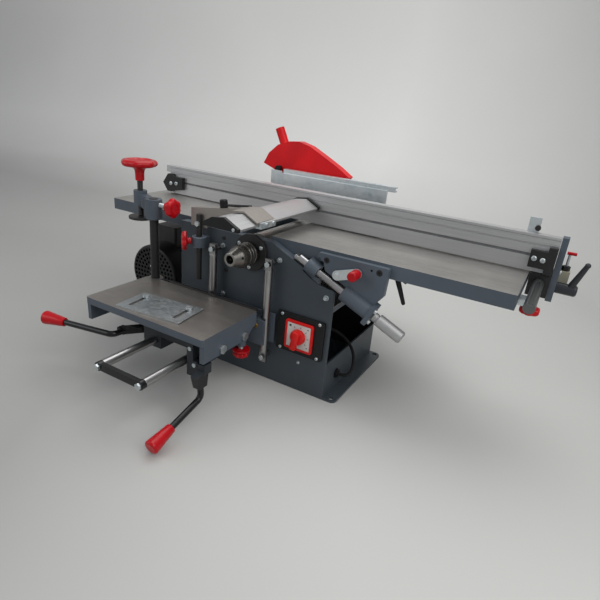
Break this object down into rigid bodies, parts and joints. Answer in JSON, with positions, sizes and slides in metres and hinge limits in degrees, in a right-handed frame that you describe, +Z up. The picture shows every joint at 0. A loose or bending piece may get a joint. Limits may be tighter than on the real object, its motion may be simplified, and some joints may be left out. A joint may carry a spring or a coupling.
{
  "type": "combination woodworking machine",
  "caption": "Bench combination woodworking machine: planer tables with tilting fence, bridge guard, drill chuck, mortising table with levers, and circular saw with hood on one spindle.",
  "frame": {"origin": "centre of the four foot holes, on the floor", "axes": "+X along the planer tables towards the infeed end, +Y towards the saw side, +Z up"},
  "size_m": [1.0066, 0.7533, 0.4998],
  "materials": {
    "slate_paint": "satin",
    "ground_iron": "satin",
    "zinc": "satin",
    "chrome_steel": "polished",
    "machined_steel": "satin",
    "black_metal": "satin",
    "aluminium": "satin",
    "red_plastic": "gloss",
    "black_plastic": "matte",
    "black_rubber": "matte"
  },
  "bodies": {
    "base": {"base_cabinet": "slate_paint", "front_cheek": "slate_paint", "rear_cheek": "slate_paint", "guide_rods": "chrome_steel", "outfeed_table": "ground_iron", "bearing_caps": "black_metal", "spindle_bearings": "machined_steel", "cabinet_bolts": "zinc", "switch_plate": "black_plastic", "drive_belt": "black_rubber", "motor_body": "black_metal", "motor_cowl": "black_metal", "guide_bars": "chrome_steel", "guard_clamp": "slate_paint", "saw_table": "aluminium", "riving_knife": "zinc", "machine_cable": "black_rubber", "cable_gland": "black_plastic"},
    "spindle": {"spindle_shaft": "machined_steel", "cutter_block": "machined_steel", "drill_chuck": "machined_steel", "spindle_pulley": "aluminium", "saw_blade": "machined_steel"},
    "rotor": {"motor_rotor": "machined_steel"},
    "bed": {"thicknesser_bed": "ground_iron"},
    "infeed": {"infeed_table": "ground_iron", "infeed_aprons": "slate_paint", "fence_bracket": "zinc"},
    "twist_handle": {"infeed_handle": "aluminium"},
    "crank": {"lock_crank": "zinc"},
    "table_lever": {"table_lock_lever": "black_plastic"},
    "carriage": {"fence_tube": "zinc", "fence_carriage": "black_metal", "fence_end_plate": "slate_paint"},
    "fence": {"fence_profile": "aluminium", "fence_end_blocks": "black_metal"},
    "fence_knob": {"fence_lock_knob": "red_plastic"},
    "fence_lever": {"tilt_lever": "black_plastic"},
    "guard_support": {"guard_post": "black_metal", "guard_arm": "machined_steel"},
    "guard_lever": {"guard_lock_knob": "black_plastic"},
    "guard": {"bridge_guard": "aluminium"},
    "post_knob": {"guard_post_knob": "red_plastic"},
    "knee": {"mortise_knee": "slate_paint", "stroke_rods": "chrome_steel"},
    "knee_screw": {"knee_knob": "red_plastic"},
    "saddle": {"mortise_saddle": "slate_paint"},
    "push_lever": {"stroke_lever": "black_metal"},
    "side_lever": {"cross_lever": "black_metal"},
    "work_table": {"mortise_table": "ground_iron", "cross_rods": "chrome_steel", "table_insert": "zinc", "holddown_post": "black_metal"},
    "hold_arm": {"holddown_arm": "slate_paint"},
    "hold_knob": {"holddown_knob": "red_plastic"},
    "hold_pad": {"holddown_pad": "black_metal"},
    "hold_screw": {"holddown_screw": "red_plastic"},
    "switch": {"switch_knob": "red_plastic"},
    "hood": {"saw_hood": "red_plastic"},
    "rip": {"rip_fence": "zinc"}
  },
  "joints": [
    {"name": "spindle_turn", "type": "hinge", "parent": "base", "child": "spindle", "pos_m": [0, 0, 0.273], "axis": [0, 1, 0], "continuous": true},
    {"name": "motor_turn", "type": "hinge", "parent": "base", "child": "rotor", "pos_m": [-0.347, 0, 0.121], "axis": [0, 1, 0], "continuous": true},
    {"name": "bed_lift", "type": "slide", "parent": "base", "child": "bed", "axis": [0, 0, 1], "range_m": [-0.01, 0.045]},
    {"name": "infeed_slide", "type": "slide", "parent": "base", "child": "infeed", "axis": [0.9118, 0, -0.4107], "range_m": [0, 0.005]},
    {"name": "handle_turn", "type": "hinge", "parent": "infeed", "child": "twist_handle", "pos_m": [0.29165, -0.121, 0.19956], "axis": [0.9118, 0, -0.4107], "range_deg": [0, 450.5]},
    {"name": "crank_turn", "type": "hinge", "parent": "infeed", "child": "crank", "pos_m": [0.188, -0.124, 0.269], "axis": [0, -1, 0], "range_deg": [0, 45]},
    {"name": "table_lever_turn", "type": "hinge", "parent": "infeed", "child": "table_lever", "pos_m": [0.2885, -0.091, 0.2895], "axis": [0, 1, 0], "range_deg": [-35, 35]},
    {"name": "fence_slide", "type": "slide", "parent": "infeed", "child": "carriage", "axis": [0, 1, 0], "range_m": [-0.06, 0]},
    {"name": "fence_tilt", "type": "hinge", "parent": "carriage", "child": "fence", "pos_m": [0.535, 0.06, 0.316], "axis": [-1, 0, 0], "range_deg": [0, 45]},
    {"name": "fence_knob_turn", "type": "hinge", "parent": "infeed", "child": "fence_knob", "pos_m": [0.513, -0.05, 0.27], "axis": [0, 0, 1], "range_deg": [-90, 180]},
    {"name": "fence_lever_turn", "type": "hinge", "parent": "carriage", "child": "fence_lever", "pos_m": [0.558, 0.071, 0.285], "axis": [1, 0, 0], "range_deg": [-50, 30]},
    {"name": "guard_height", "type": "slide", "parent": "base", "child": "guard_support", "axis": [0, 0, 1], "range_m": [-0.018, 0.03]},
    {"name": "guard_lever_turn", "type": "hinge", "parent": "guard_support", "child": "guard_lever", "pos_m": [-0.069, -0.135, 0.3506], "axis": [-0.1425, 0, 0.9898], "range_deg": [0, 60]},
    {"name": "guard_slide", "type": "slide", "parent": "guard_support", "child": "guard", "axis": [0, 1, 0], "range_m": [-0.06, 0]},
    {"name": "post_knob_turn", "type": "hinge", "parent": "base", "child": "post_knob", "pos_m": [-0.14312, -0.16927, 0.2735], "axis": [0.7373, 0.6756, 0], "range_deg": [-90, 180]},
    {"name": "knee_lift", "type": "slide", "parent": "base", "child": "knee", "axis": [0, 0, 1], "range_m": [-0.004, 0.07]},
    {"name": "knee_knob_turn", "type": "hinge", "parent": "knee", "child": "knee_screw", "pos_m": [0.02, -0.18, 0.073], "axis": [0, 0, 1], "range_deg": [-90, 180]},
    {"name": "stroke_slide", "type": "slide", "parent": "knee", "child": "saddle", "axis": [0, 1, 0], "range_m": [-0.1, 0]},
    {"name": "push_lever_turn", "type": "hinge", "parent": "saddle", "child": "push_lever", "pos_m": [0.038, -0.32, 0.105], "axis": [1, 0, 0], "range_deg": [-41, 0.2]},
    {"name": "cross_slide", "type": "slide", "parent": "saddle", "child": "work_table", "axis": [1, 0, 0], "range_m": [-0.015, 0.02]},
    {"name": "side_lever_turn", "type": "hinge", "parent": "saddle", "child": "side_lever", "pos_m": [-0.146, -0.262, 0.107], "axis": [0, 0, 1], "range_deg": [-24, 18]},
    {"name": "hold_swing", "type": "hinge", "parent": "work_table", "child": "hold_arm", "pos_m": [-0.234, -0.163, 0.323], "axis": [0, 0, 1], "range_deg": [0, 130]},
    {"name": "hold_knob_turn", "type": "hinge", "parent": "hold_arm", "child": "hold_knob", "pos_m": [-0.18, -0.163, 0.333], "axis": [1, 0, 0], "range_deg": [-90, 180]},
    {"name": "hold_press", "type": "slide", "parent": "hold_arm", "child": "hold_pad", "axis": [0, 0, 1], "range_m": [-0.018, 0]},
    {"name": "hold_screw_turn", "type": "hinge", "parent": "hold_pad", "child": "hold_screw", "pos_m": [-0.272, -0.163, 0.35], "axis": [0, 0, 1], "range_deg": [0, 1620.5]},
    {"name": "switch_turn", "type": "hinge", "parent": "base", "child": "switch", "pos_m": [0.128, -0.145, 0.128], "axis": [0, 1, 0], "range_deg": [0, 90]},
    {"name": "hood_tilt", "type": "hinge", "parent": "base", "child": "hood", "pos_m": [-0.123, 0.164, 0.401], "axis": [0, -1, 0], "range_deg": [0, 40]},
    {"name": "rip_slide", "type": "slide", "parent": "base", "child": "rip", "axis": [0, 1, 0], "range_m": [0, 0.012]}
  ],
  "couplings": [
    {"joint": "motor_turn", "follows": "spindle_turn", "ratio": 0.6657},
    {"joint": "handle_turn", "follows": "infeed_slide", "rad_per_m": 1570.8},
    {"joint": "guard_slide", "follows": "fence_slide", "ratio": 1},
    {"joint": "push_lever_turn", "follows": "stroke_slide", "rad_per_m": 7},
    {"joint": "side_lever_turn", "follows": "cross_slide", "rad_per_m": -20},
    {"joint": "hold_screw_turn", "follows": "hold_press", "rad_per_m": -1570.8}
  ]
}
